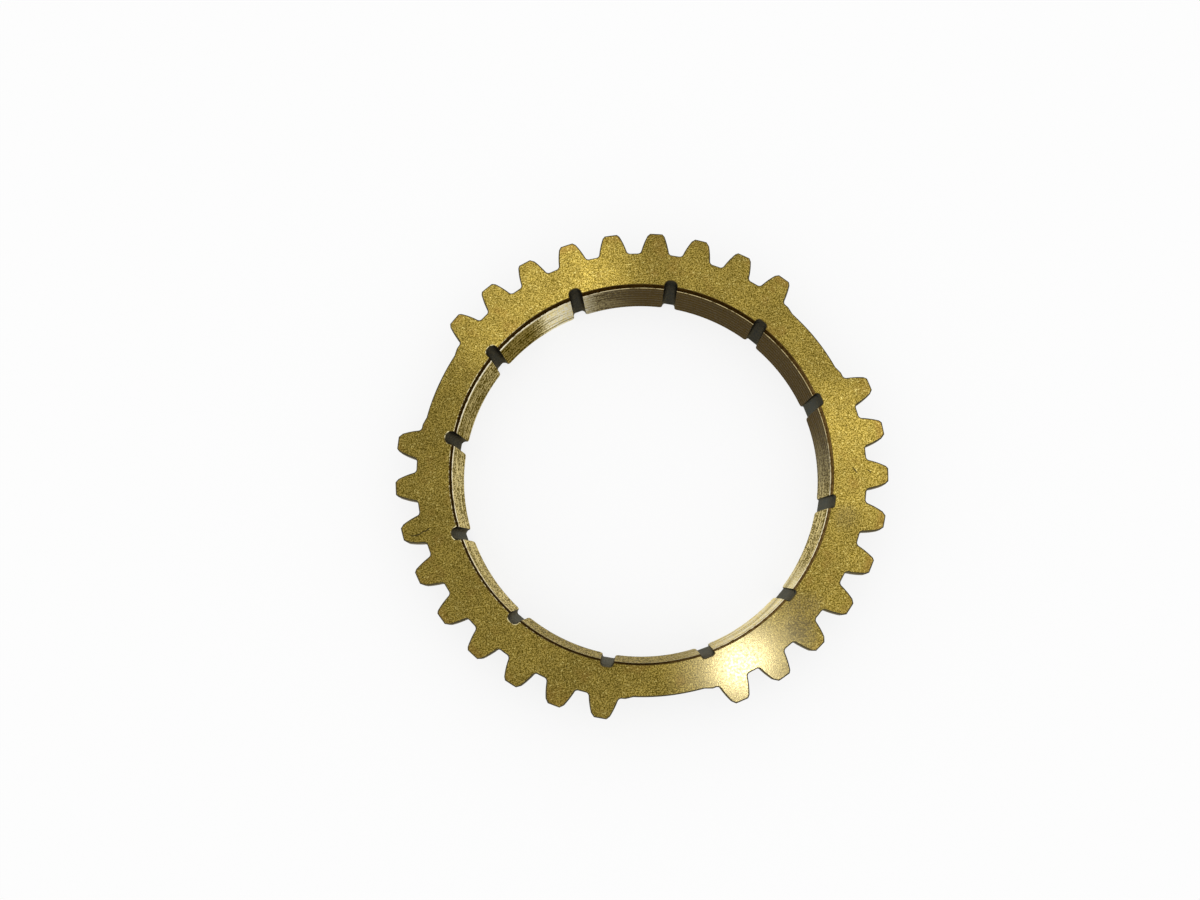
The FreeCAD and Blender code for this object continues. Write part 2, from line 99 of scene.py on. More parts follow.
# Stations of half a gap. Those of the ramp are a small turn apart on the small end. Those down
# to the foot of the slot have an angle on the gap's floor (none where the floor ends), an angle
# on the small end, and a place on the slot. The rest are even steps along the slot's floor.
RAMP_STEPS = 3
RAMP_TURN = 0.12
SLOT_STATIONS = ((None, 10.4, ("edge", 0.0)), (8.75, 10.2, ("wall", 0.0)),
                 (8.5, 9.95, ("wall", 0.5)), (8.25, 9.7, ("corner", 0.0)),
                 (8.0, 9.4, ("corner", 0.33)), (7.75, 9.0, ("corner", 0.67)),
                 (7.5, 8.6, ("corner", 1.0)))
SLOT_FLOOR_STEPS = 9
SLOT_FLOOR_ANGLE = 7.5
SLOT_FLOOR_END_ANGLE = 8.4

# Friction cone and the relief above it
CONE_SMALL_RADIUS = 29.25
CONE_HALF_ANGLE = 6.5
CONE_EDGE = 0.2
SHOULDER_LEVEL = 7.9
SHOULDER_EDGE = 0.06
RELIEF_RADIUS = 30.3
RELIEF_EDGE = 0.2
RELIEF_BAND = 0.1
RELIEF_FOOT = 0.05

# Fine thread of the cone; its profile is in shares of the pitch and of the depth
THREAD_PITCH = 0.96
THREAD_DEPTH = 0.06
THREAD_RUNOUT = 0.15
THREAD_PROFILE = ((0.0, 0.0), (0.28, 0.0), (0.46, 1.0), (0.54, 1.0), (0.72, 0.0))

# Oil grooves, forged a little off the turned axis and drifting from their even places
OIL_GROOVES = 12
OIL_GROOVE_TURN = 13.3
OIL_GROOVE_WIDTH = 2.1
OIL_GROOVE_FLOOR_RADIUS = 29.92
OIL_GROOVE_ANGLE = 8.5
OIL_GROOVE_FILLET = 0.95
OIL_GROOVE_DRIFT = (0.9, -0.4, -0.4, -0.7, 0.6, 0.1, -0.6, 0.0, 0.4, -0.1, -0.3, 0.1)
CORE_SHIFT = Vector((-0.31, 0.2))
OIL_GROOVE_LEAN = math.tan(math.radians(OIL_GROOVE_ANGLE))

# Worn lip along a groove, wider and deeper towards the small end, the round of its mouth on
# the face, and the least height of wall between the lip and the corner of the floor
LIP_WIDTH = 0.1
LIP_DEPTH = 0.06
MOUTH_LIP_WIDTH = 0.45
MOUTH_LIP_DEPTH = 0.2
MOUTH_LIP_REACH = 0.7
MOUTH_ROUND = 0.08
LEAST_WALL = 0.02

# Lines of the mesh down the bore: steps between two grooves, the angle left free for a groove
# on each side of its middle, the angle up to which its lines fan out on the flat faces, and
# the share of that angle at which they meet the thread. The thread starts on the first line.
PLAIN_STEPS = 19
GROOVE_REGION = 3.6
GROOVE_SPREAD = 3.3
GROOVE_ANGLE_SHARE = 0.9
HELIX_START = OIL_GROOVE_TURN + OIL_GROOVE_DRIFT[0] - GROOVE_SPREAD * GROOVE_ANGLE_SHARE

# Circles that join the outside and the inside of the mesh on the two flat faces
FACE_OUTER_CIRCLE = 34.6
FACE_INNER_CIRCLE = 32.4
END_OUTER_CIRCLE = 31.3
END_INNER_CIRCLE = 31.0

# The forging's unevenness: radius from which it grows, over how far, and its size and depth
WAVER_START = 32.0
WAVER_FADE = 3.0
WAVER_SIZE = 3.5
WAVER_DEPTH = 0.04

# Angle between two faces from which the edge between them is drawn sharp
SHARP_ANGLE = 34.0

# Where the camera stood, and how far the ring is turned in its picture
PHOTO_TURN = 6.86
CAMERA_PLACE = Vector((-4.86, -26.08, 197.34))
CAMERA_AIM = Vector((-6.0, 3.95, 9.2))
LENS = 36.0
SENSOR_WIDTH = 36.0
CLIP_START = 10.0

# Regions of the surface, in the order of their materials
FACE, FLANK, TURNED, THREAD, RELIEF, RIM, SHOULDER, SCALE = range(8)

SEED = 33
rng = random.Random(SEED)
noise.seed_set(SEED)


def direction(degrees):
    """The unit vector in the plane of the ring at an angle from +X."""
    turn = math.radians(degrees)
    return Vector((math.cos(turn), math.sin(turn)))


def local(turn, across, out):
    """A point given in the frame of a tooth, gap or groove whose centre line is at an angle."""
    middle = direction(turn)
    return Vector((middle.x * out - middle.y * across, middle.y * out + middle.x * across))


def lift(point, level):
    return Vector((point.x, point.y, level))


class Skin:
    """A mesh in the making: points in the same place are one vertex, empty faces are left out."""

    def __init__(self):
        self.numbers = {}
        self.points = []
        self.faces = []
        self.finishes = []

    def vertex(self, point):
        key = (round(point.x, 4), round(point.y, 4), round(point.z, 4))
        if key not in self.numbers:
            self.numbers[key] = len(self.points)
            self.points.append(point)
        return self.numbers[key]

    def loop(self, points):
        return [self.vertex(point) for point in points]

    def face(self, corners, finish):
        kept = [c for c, before in zip(corners, corners[-1:] + corners[:-1]) if c != before]
        if len(set(kept)) == len(kept) >= 3:
            self.faces.append(kept)
            self.finishes.append(finish)

    def band(self, loop, follower, finish):
        """Quads between two closed loops with as many vertices."""
        for i in range(len(loop)):
            before = i - 1
            self.face([loop[before], loop[i], follower[i], follower[before]], finish)

    def zip(self, loop, angles, other, other_angles, finish):
        """Triangles between two circles with different numbers of vertices."""
        loop, angles = from_zero(loop, angles)
        other, other_angles = from_zero(other, other_angles)
        i = j = 0
        while i < len(loop) - 1 or j < len(other) - 1:
            step = j == len(other) - 1
            if not step and i < len(loop) - 1:
                step = angles[i + 1] < other_angles[j + 1]
            if step:
                self.face([loop[i], loop[i + 1], other[j]], finish)
                i += 1
            else:
                self.face([loop[i], other[j + 1], other[j]], finish)
                j += 1


def from_zero(loop, angles):
    """A loop that starts at its smallest angle and comes back to its own start."""
    turned = [angle % 360.0 for angle in angles]
    start = turned.index(min(turned))
    order = [(start + k) % len(loop) for k in range(len(loop))]
    angles = [turned[k] for k in order] + [turned[start] + 360.0]
    return [loop[k] for k in order] + [loop[start]], angles


# The outside: a closed outline of stations, each with what lies below it


class Station:
    """One place on the outline: its point, and where the collar below it has its own."""

    def __init__(self, turn, across, out, slot=None, end_angle=None):
        self.turn = turn
        self.point = local(turn, across, out)
        self.angle = turn + math.degrees(math.atan2(across, out))
        self.slot = slot
        self.end_angle = self.angle if end_angle is None else turn + end_angle
        self.on_tooth = False
        self.step = None
        self.mitre = None

    def across_and_out(self, point):
        middle = direction(self.turn)
        return middle.x * point.y - middle.y * point.x, middle.dot(point)

    def back_level(self, point):
        """Height of the blocking faces over a point of the tooth."""
        if not self.on_tooth:
            return FLANGE_BACK
        across, out = self.across_and_out(point)
        rise = max(0.0, abs(across) - RIDGE_WIDTH / 2)
        return FLANGE_BACK + rise / math.tan(math.radians(BLOCKING_HALF_ANGLE))

    def back_edge(self):
        """Width of the broken edge at the back, which fades out at the foot of the tooth."""
        across, out = self.across_and_out(self.point)
        if self.step is None:
            return BACK_EDGE
        room = out - ROOT_RADIUS if self.on_tooth else abs(across) - self.step
        return min(BACK_EDGE, max(0.0, room / 2))

    def foot(self):
        """Where the blocking face under this station meets the rim of the flange."""
        if not self.on_tooth:
            return self.point + self.mitre * self.back_edge()
        across, out = self.across_and_out(self.point)
        return local(self.turn, across * ROOT_RADIUS / out, ROOT_RADIUS)


def arc_points(centre, radius, start, end, count):
    """Points on an arc, both ends included; angles in radians."""
    angles = [start + (end - start) * k / count for k in range(count + 1)]
    return [centre + Vector((math.cos(a), math.sin(a))) * radius for a in angles]


def half_tooth():
    """One side of a tooth from its centre line to the middle of the tooth space.

    Each point comes with whether it is on the tooth. Where the outline comes down to the rim,
    it changes to the floor of the space; step is how far that is from the centre line."""
    half_pitch = math.pi / TOOTH_DIVISIONS
    thickness = TOOTH_THICKNESS + rng.uniform(-1, 1) * FORGED_THICKNESS_SPREAD
    corner = TIP_CORNER + rng.uniform(-1, 1) * FORGED_CORNER_SPREAD
    pressure = math.radians(PRESSURE_ANGLE)
    base = PITCH_RADIUS * math.cos(pressure)
    flank_radius = PITCH_RADIUS * math.sin(pressure)
    centre_turn = thickness / (2 * PITCH_RADIUS) - pressure

    def turn_at(radius, distance):
        """Turn of a point at a radius that lies at a distance from the flank's centre."""
        ratio = (radius**2 + base**2 - distance**2) / (2 * radius * base)
        return centre_turn + math.acos(ratio)

    def point_at(turn, radius):
        return Vector((math.sin(turn), math.cos(turn))) * radius

    shoulder_radius = TIP_RADIUS - corner
    shoulder = point_at(turn_at(shoulder_radius, flank_radius), shoulder_radius)
    lean = Vector((-1, 1)).normalized()
    reach = lean.dot(shoulder)
    run = math.sqrt(reach**2 - shoulder_radius**2 + TIP_RADIUS**2) - reach
    bevel_end = shoulder + lean * run
    tip_turn = math.atan2(bevel_end.x, bevel_end.y)

    fillet_radius = ROOT_RADIUS + ROOT_FILLET
    fillet_turn = turn_at(fillet_radius, flank_radius + ROOT_FILLET)
    fillet = point_at(fillet_turn, fillet_radius)
    flank_centre = point_at(centre_turn, base)
    joint = fillet + (flank_centre - fillet).normalized() * ROOT_FILLET
    start = math.atan2(joint.y - fillet.y, joint.x - fillet.x) % (2 * math.pi)
    crossing = math.pi + math.asin((fillet.y - ROOT_RADIUS) / ROOT_FILLET)
    end = 1.5 * math.pi - fillet_turn

    tooth = [point_at(tip_turn * k / CURVE_STEPS, TIP_RADIUS) for k in range(CURVE_STEPS)]
    tooth += [bevel_end, shoulder.lerp(bevel_end, 0.5), shoulder]
    for k in range(1, FLANK_STEPS):
        radius = shoulder_radius + (joint.length - shoulder_radius) * k / FLANK_STEPS
        tooth.append(point_at(turn_at(radius, flank_radius), radius))
    tooth += arc_points(fillet, ROOT_FILLET, start, crossing, CURVE_STEPS)
    space = arc_points(fillet, ROOT_FILLET, crossing, end, CURVE_STEPS)[1:]
    for k in range(1, CURVE_STEPS + 1):
        turn = fillet_turn + (half_pitch - fillet_turn) * k / CURVE_STEPS
        space.append(point_at(turn, ROOT_RADIUS))
    step = tooth[-1].x
    return [(p, True) for p in tooth] + [(p, False) for p in space], step


def tooth_stations(turn):
    stations = []
    for side in (-1, 1):
        points, step = half_tooth()
        if side == -1:
            points = points[:0:-1]
        else:
            points = points[:-1]
        for point, on_tooth in points:
            station = Station(turn, side * point.x, point.y)
            station.on_tooth = on_tooth
            station.step = step
            stations.append(station)
    return stations


def mirrored(slot, side):
    """A place on the key slot with the side of the slot that it is on."""
    return None if slot is None else (*slot, side)


def gap_stations(turn):
    """The gap in the teeth with the key slot below it, from one side to the other."""
    half_gap = MISSING_TEETH * 180 / TOOTH_DIVISIONS
    floor_end = math.degrees(math.asin(GAP_FLOOR_WIDTH / 2 / GAP_FLOOR_RADIUS))
    low, shelf = direction(floor_end) * GAP_FLOOR_RADIUS, direction(half_gap) * ROOT_RADIUS

    half = []
    for k in range(RAMP_STEPS):
        half.append((shelf.lerp(low, k / RAMP_STEPS), half_gap - RAMP_TURN * k, None))
    for angle, end_angle, slot in SLOT_STATIONS:
        point = direction(floor_end if angle is None else angle) * GAP_FLOOR_RADIUS
        half.append((point, end_angle, slot))
    for k in range(1, SLOT_FLOOR_STEPS + 1):
        share = 1 - k / SLOT_FLOOR_STEPS
        point = direction(SLOT_FLOOR_ANGLE * share) * GAP_FLOOR_RADIUS
        half.append((point, SLOT_FLOOR_END_ANGLE * share, ("floor", share)))

    stations = [Station(turn, -point.y, point.x, mirrored(slot, -1), -end_angle)
                for point, end_angle, slot in half]
    stations += [Station(turn, point.y, point.x, mirrored(slot, 1), end_angle)
                 for point, end_angle, slot in half[-2:0:-1]]
    return stations


def slot_point(slot, radius):
    """A point of the key slot's outline, where the collar has the given radius."""
    kind, share, side = slot
    half = KEY_SLOT_WIDTH / 2
    inset = half - KEY_SLOT_FILLET
    rise = math.sqrt((KEY_SLOT_FLOOR_RADIUS + KEY_SLOT_FILLET) ** 2 - inset**2)
    floor_turn = math.atan2(inset, rise)
    if kind == "edge":
        across = half + KEY_SLOT_EDGE
        out = math.sqrt(radius**2 - across**2)
    elif kind == "wall":
        across = half
        top = math.sqrt((radius - KEY_SLOT_EDGE) ** 2 - half**2)
        out = top + (rise - top) * share
    elif kind == "corner":
        swing = -share * (math.pi / 2 + floor_turn)
        across = inset + KEY_SLOT_FILLET * math.cos(swing)
        out = rise + KEY_SLOT_FILLET * math.sin(swing)
    else:
        across = KEY_SLOT_FLOOR_RADIUS * math.sin(floor_turn * share)
        out = KEY_SLOT_FLOOR_RADIUS * math.cos(floor_turn * share)
    return side * across, out


def collar_rows():
    """Radius and level of the collar from the back of the flange to the small end."""
    rows = []
    for k in range(COLLAR_FILLET_STEPS + 1):
        turn = math.radians(90 - 90 * k / COLLAR_FILLET_STEPS)
        radius = COLLAR_RADIUS + COLLAR_FILLET * (1 - math.cos(turn))
        rows.append((radius, FLANGE_BACK - COLLAR_FILLET * (1 - math.sin(turn))))
    rows += [(COLLAR_RADIUS, level) for level in COLLAR_LEVELS]
    rows += [(COLLAR_RADIUS, COLLAR_EDGE), (COLLAR_RADIUS - COLLAR_EDGE, 0.0)]
    return rows


def outline_stations():
    stations = []
    pitch = 360 / TOOTH_DIVISIONS
    teeth = TOOTH_DIVISIONS // KEY_GAPS - MISSING_TEETH
    for gap in range(KEY_GAPS):
        turn = FIRST_GAP + gap * 360 / KEY_GAPS
        stations += gap_stations(turn)
        first = turn + (MISSING_TEETH + 1) * pitch / 2
        for tooth in range(teeth):
            stations += tooth_stations(first + tooth * pitch)
    for i, station in enumerate(stations):
        before = station.point - stations[i - 1].point
        after = stations[(i + 1) % len(stations)].point - station.point
        before = Vector((-before.y, before.x)).normalized()
        after = Vector((-after.y, after.x)).normalized()
        station.mitre = (before + after) / (1 + before.dot(after))
    return stations


def build_outside(skin):
    """Front edge, flanks, blocking faces, flange back, collar and slots."""
    stations = outline_stations()
    angles = [station.angle for station in stations]

    def level_loop(inset, level):
        return skin.loop([lift(s.point + s.mitre * inset, level) for s in stations])

    circle = skin.loop([lift(direction(a) * FACE_OUTER_CIRCLE, HEIGHT) for a in angles])
    loops = [circle, level_loop(FRONT_ROUND + EDGE_BAND, HEIGHT),
             level_loop(FRONT_ROUND, HEIGHT)]
    for k in range(1, CURVE_STEPS + 1):
        turn = math.radians(90 * k / CURVE_STEPS)
        inset = FRONT_ROUND * (1 - math.sin(turn))
        loops.append(level_loop(inset, HEIGHT - FRONT_ROUND * (1 - math.cos(turn))))
    for loop, follower in zip(loops, loops[1:3]):
        skin.band(loop, follower, FACE)
    for loop, follower in zip(loops[2:], loops[3:]):
        skin.band(loop, follower, FLANK)

    top = HEIGHT - FRONT_ROUND - EDGE_BAND
    lows = [s.back_level(s.point) + s.back_edge() for s in stations]
    walls = [loops[-1]]
    for share in FLANK_SHARES:
        walls.append(skin.loop([lift(s.point, top + (low - top) * share)
                                for s, low in zip(stations, lows)]))
    edge = []
    for s in stations:
        point = s.point + s.mitre * s.back_edge()
        edge.append(lift(point, s.back_level(point)))
    walls.append(skin.loop(edge))
    walls.append(skin.loop([lift(s.foot(), s.back_level(s.foot())) for s in stations]))
    walls.append(skin.loop([lift(s.foot(), FLANGE_BACK) for s in stations]))
    for loop, follower in zip(walls, walls[1:]):
        skin.band(loop, follower, FLANK)

    last = walls[-1]
    for radius, level in collar_rows():
        points = []
        for s in stations:
            if s.slot is None:
                points.append(lift(direction(s.angle) * radius, level))
            else:
                points.append(lift(local(s.turn, *slot_point(s.slot, radius)), level))
        loop = skin.loop(points)
        skin.band(last, loop, TURNED)
        last = loop
    end_angles = [s.end_angle for s in stations]
    end = skin.loop([lift(direction(a) * END_OUTER_CIRCLE, 0.0) for a in end_angles])
    skin.band(last, end, TURNED)
    return circle, angles, end, end_angles


# The inside: lines down the bore, each cut across by the same rows


class PlainLine:
    """A line down the cone between two grooves."""

    def __init__(self, angle):
        self.angle = angle
        self.spread = angle
        self.in_groove = False

    def point(self, radius, level, flare, thread):
        return lift(direction(self.angle) * (radius + thread), level)


class GrooveLine:
    """A line down an oil groove: number 0 is the lip and the last is nearly the middle."""

    ARC_STEPS = 6
    LAST = 4 + ARC_STEPS

    def __init__(self, turn, number, side, spread):
        self.turn = turn
        self.number = number
        self.side = side
        self.angle = turn + spread * GROOVE_ANGLE_SHARE
        self.spread = turn + spread
        self.in_groove = number >= 1

    def point(self, radius, level, flare, thread):
        middle = direction(self.turn)
        ahead = CORE_SHIFT.dot(middle)
        aside = (middle.x * CORE_SHIFT.y - middle.y * CORE_SHIFT.x) * self.side
        half = OIL_GROOVE_WIDTH / 2 + flare
        fade = math.exp(-level / MOUTH_LIP_REACH)
        lip_width = LIP_WIDTH + MOUTH_LIP_WIDTH * fade
        lip_depth = LIP_DEPTH + MOUTH_LIP_DEPTH * fade

        def bore(across, extra=0.0):
            return math.sqrt((radius + extra) ** 2 - (aside + across) ** 2) - ahead

        floor = OIL_GROOVE_FLOOR_RADIUS + OIL_GROOVE_LEAN * level + flare
        lip_foot = bore(half) + lip_depth
        fillet = min(OIL_GROOVE_FILLET, floor - lip_foot - LEAST_WALL)
        if self.number == 0:
            across = half + lip_width
            out = bore(across, thread)
        elif self.number == 1:
            slope = 1 - math.sin(math.pi / 4)
            across = half + lip_width * slope
            out = bore(across) + lip_depth * slope
        elif self.number == 2:
            across, out = half, lip_foot
        elif self.number <= 3 + self.ARC_STEPS:
            swing = (self.number - 3) / self.ARC_STEPS * math.pi / 2
            across = half - fillet * (1 - math.cos(swing))
            out = floor - fillet * (1 - math.sin(swing))
        else:
            across, out = (half - fillet) / 3, floor
        middle_line = local(self.turn, self.side * across, out)
        return lift(middle_line + CORE_SHIFT, level)


def bore_lines():
    """All lines down the bore, anticlockwise from the first groove."""
    lines = []
    turns = [OIL_GROOVE_TURN + k * 360 / OIL_GROOVES + drift
             for k, drift in enumerate(OIL_GROOVE_DRIFT)]
    for turn, following in zip(turns, turns[1:] + [turns[0] + 360]):
        numbers = [(k, -1) for k in range(GrooveLine.LAST + 1)]
        numbers += [(k, 1) for k in range(GrooveLine.LAST, -1, -1)]
        for place, (number, side) in enumerate(numbers):
            spread = GROOVE_SPREAD * (2 * place / (len(numbers) - 1) - 1)
            lines.append(GrooveLine(turn, number, side, spread))
        start, end = turn + GROOVE_REGION, following - GROOVE_REGION
        lines += [PlainLine(start + (end - start) * k / PLAIN_STEPS)
                  for k in range(PLAIN_STEPS + 1)]
    return lines


def cone_radius(level):
    slope = math.tan(math.radians(CONE_HALF_ANGLE))
    return CONE_SMALL_RADIUS + (level - CONE_EDGE) * slope


def thread_rows(share):
    """Cone radius, level, flare and thread depth from the foot of the thread to the shoulder,
    on the line at this share of a full turn: the helix climbs one pitch in one turn."""
    low, high = CONE_EDGE, SHOULDER_LEVEL - SHOULDER_EDGE
    turns = math.ceil((high - low) / THREAD_PITCH) + 1
    rows = []
    for turn in range(-1, turns):
        for phase, depth in THREAD_PROFILE:
            level = low + (turn + phase + share) * THREAD_PITCH
            level = min(max(level, low), high)
            ends = min(level - low, high - level) / THREAD_RUNOUT
            rows.append((cone_radius(level), level, 0.0, THREAD_DEPTH * depth * min(1.0, ends)))
    rows.append((cone_radius(high), high, 0.0, 0.0))
    return rows


def build_inside(skin):
    """Relief, shoulder, threaded cone and grooves."""
    lines = bore_lines()
    first = lines[0].angle
    shoulder = cone_radius(SHOULDER_LEVEL)
    face_edge = RELIEF_RADIUS + RELIEF_EDGE
    above = [(face_edge, HEIGHT, MOUTH_ROUND, FACE),
             (face_edge - MOUTH_ROUND, HEIGHT - MOUTH_ROUND, 0.0, RIM),
             (RELIEF_RADIUS, HEIGHT - RELIEF_EDGE, 0.0, RELIEF),
             (RELIEF_RADIUS, HEIGHT - RELIEF_EDGE - RELIEF_BAND, 0.0, RELIEF),
             (RELIEF_RADIUS, SHOULDER_LEVEL + RELIEF_FOOT, 0.0, RELIEF),
             (RELIEF_RADIUS - RELIEF_FOOT, SHOULDER_LEVEL, 0.0, RELIEF),
             (shoulder + SHOULDER_EDGE, SHOULDER_LEVEL, 0.0, RELIEF)]
    columns = []
    for line in lines:
        share = (line.angle - first) / 360
        rows = [(radius, level, flare, 0.0) for radius, level, flare, finish in above]
        rows += reversed(thread_rows(share))
        rows.append((CONE_SMALL_RADIUS + CONE_EDGE, 0.0, 0.0, 0.0))
        columns.append(skin.loop([line.point(*row) for row in rows]))

    count = len(columns[0])
    start, step = len(above), len(THREAD_PROFILE)
    finishes = [row[-1] for row in above[1:]] + [SHOULDER]
    finishes += [THREAD] * (count - len(above) - 1)
    for i, line in enumerate(lines):
        before = columns[i - 1]
        if i == 0:
            # The helix has climbed one pitch: its rows join on one pitch lower down.
            shifted = [max(start, k - step) for k in range(start, count - 1)]
            column = columns[0][:start] + [columns[0][k] for k in shifted] + columns[0][-1:]
        else:
            column = columns[i]
        groove = line.in_groove and lines[i - 1].in_groove
        for k in range(count - 1):
            finish = SCALE if groove and k > 0 else finishes[k]
            skin.face([before[k], column[k], column[k + 1], before[k + 1]], finish)

    spreads = [line.spread for line in lines]
    face = skin.loop([lift(direction(a) * FACE_INNER_CIRCLE, HEIGHT) for a in spreads])
    end = skin.loop([lift(direction(a) * END_INNER_CIRCLE, 0.0) for a in spreads])
    skin.band([column[0] for column in columns], face, FACE)
    skin.band([column[-1] for column in columns], end, TURNED)
    return face, spreads, end


def waver(point):
    """The small unevenness of the forging, outside only."""
    radius = math.hypot(point.x, point.y)
    share = min(1.0, max(0.0, (radius - WAVER_START) / WAVER_FADE))
    shift = noise.noise_vector(point / WAVER_SIZE) * WAVER_DEPTH * share
    return Vector((point.x + shift.x, point.y + shift.y, point.z))


def build_ring():
    skin = Skin()
    circle, angles, end, end_angles = build_outside(skin)
    face, spreads, inner_end = build_inside(skin)
    skin.zip(circle, angles, face, spreads, FACE)
    skin.zip(end, end_angles, inner_end, spreads, TURNED)

    mesh = bpy.data.meshes.new("ring")
    mesh.from_pydata([waver(p) * MM for p in skin.points], [], skin.faces)
    for polygon, finish in zip(mesh.polygons, skin.finishes):
        polygon.material_index = finish
    sheet = bmesh.new()
    sheet.from_mesh(mesh)
    bmesh.ops.recalc_face_normals(sheet, faces=sheet.faces)
    sharp = math.radians(SHARP_ANGLE)
    for face in sheet.faces:
        face.smooth = True
    for edge in sheet.edges:
        finishes = {face.material_index for face in edge.link_faces}
        edge.smooth = len(finishes) == 1 and edge.calc_face_angle() < sharp
    sheet.to_mesh(mesh)
    sheet.free()
    ring = bpy.data.objects.new("ring", mesh)
    bpy.context.scene.collection.objects.link(ring)
    return ring


# Soft edges of marks: of a round patch, of a pit (shares of its radius), of a sector (shares of
# its half-width), of a groove of the thread (shares of the pitch from its middle), and the sway
# and ends of a fine line; and the share of the cells that have no pit
PATCH_SOFTNESS = 0.7
PIT_EDGE = (1.4, 0.6)
PITLESS = 0.55
SECTOR_FADE = (0.6, 1.3)
GROOVE_MARK = (0.22, 0.08)
LINE_SWAY = 0.12
LINE_FADE = 0.1


class Nodes:
    """Short calls for one material's nodes. A value may be a number, a colour or a socket."""

    def __init__(self, name):
        self.material = bpy.data.materials.new(name)
        self.material.use_nodes = True
        self.tree = self.material.node_tree
        self.shader = self.tree.nodes["Principled BSDF"]
        self.place = self.tree.nodes.new("ShaderNodeTexCoord").outputs["Object"]

    def feed(self, socket, value):
        if isinstance(value, bpy.types.NodeSocket):
            self.tree.links.new(value, socket)
        else:
            socket.default_value = value

    def node(self, kind, inputs, **settings):
        node = self.tree.nodes.new(kind)
        for name, value in settings.items():
            setattr(node, name, value)
        for name, value in inputs.items():
            self.feed(node.inputs[name], value)
        return node

    def math(self, operation, first, second=0.0):
        inputs = {0: first, 1: second}
        return self.node("ShaderNodeMath", inputs, operation=operation).outputs[0]

    def stretched(self, across, along):
        """Places scaled in the plane and along the axis, for marks that run round or along it."""
        inputs = {"Vector": self.place, "Scale": (across, across, along)}
        return self.node("ShaderNodeMapping", inputs).outputs[0]

    def noise(self, size, detail=2.0, rough=0.5, place=None):
        """Noise whose grains are about size millimetres."""
        inputs = {"Vector": place or self.place, "Scale": 1 / (size * MM), "Detail": detail,
                  "Roughness": rough}
        return self.node("ShaderNodeTexNoise", inputs).outputs["Fac"]

    def spread(self, value, low, high, to_low=0.0, to_high=1.0):
        """A value moved from one range to another, smoothly and within its ends."""
        inputs = {"Value": value, "From Min": low, "From Max": high, "To Min": to_low,
                  "To Max": to_high}
        return self.node("ShaderNodeMapRange", inputs, interpolation_type="SMOOTHSTEP").outputs[0]

    def mix(self, share, first, second):
        node = self.node("ShaderNodeMix", {0: share}, data_type="RGBA")
        self.feed(node.inputs[6], first)
        self.feed(node.inputs[7], second)
        return node.outputs[2]

    def vector(self, operation, first, second=(0, 0, 0), output="Vector"):
        inputs = {0: first, 1: second}
        node = self.node("ShaderNodeVectorMath", inputs, operation=operation)
        return node.outputs[output]

    def near(self, point, radius):
        """One inside a soft round patch, none outside; the point is in millimetres."""
        distance = self.vector("DISTANCE", self.place, point * MM, output="Value")
        inner, outer = radius * (1 - PATCH_SOFTNESS), radius * (1 + PATCH_SOFTNESS)
        return self.spread(distance, inner * MM, outer * MM, 1.0, 0.0)

    def dimmed(self, colour, factor):
        """A colour times a factor."""
        inputs = {0: colour, "Scale": factor}
        return self.node("ShaderNodeVectorMath", inputs, operation="SCALE").outputs[0]

    def along(self, axis):
        """Distance along an axis through the origin."""
        return self.vector("DOT_PRODUCT", self.place, axis, output="Value")

    def thread_groove(self):
        """One in the groove of the thread, none between its turns."""
        turned = self.math("ARCTAN2", self.along((0, 1, 0)), self.along((1, 0, 0)))
        turned = self.math("DIVIDE", turned, 2 * math.pi)
        climbed = self.math("DIVIDE", self.along((0, 0, 1)), THREAD_PITCH * MM)
        start = HELIX_START / 360 - CONE_EDGE / THREAD_PITCH
        phase = self.math("ADD", self.math("SUBTRACT", climbed, turned), start)
        aside = self.math("SUBTRACT", self.math("FRACT", phase), 0.5)
        return self.spread(self.math("ABSOLUTE", aside), *GROOVE_MARK)

    def flat(self, place):
        """A place with its height taken away."""
        return self.vector("MULTIPLY", place, (1, 1, 0))

    def reach(self, place=None):
        """Distance from the axis."""
        return self.vector("LENGTH", self.flat(place or self.place), output="Value")

    def sector(self, angle, half_width):
        """One in a sector of the ring about an angle as photographed, fading at its sides."""
        unit = self.vector("NORMALIZE", self.flat(self.place))
        ahead = (*direction(angle - PHOTO_TURN), 0)
        cosine = self.vector("DOT_PRODUCT", unit, ahead, output="Value")
        inner, outer = (math.cos(math.radians(half_width * share)) for share in SECTOR_FADE)
        return self.spread(cosine, outer, inner)

    def any_of(self, shares):
        """The largest of several shares."""
        most = shares[0]
        for share in shares[1:]:
            most = self.math("MAXIMUM", most, share)
        return most

    def pits(self, spacing, radius):
        """Small round pits in nearly half of the cells of a loose pattern."""
        inputs = {"Vector": self.place, "Scale": 1 / (spacing * MM)}
        cells = self.node("ShaderNodeTexVoronoi", inputs)
        outer, inner = (share * radius / spacing for share in PIT_EDGE)
        round_pit = self.spread(cells.outputs["Distance"], outer, inner)
        colour = self.node("ShaderNodeSeparateColor", {0: cells.outputs["Color"]}).outputs[1]
        return self.math("MULTIPLY", round_pit, self.math("GREATER_THAN", colour, PITLESS))

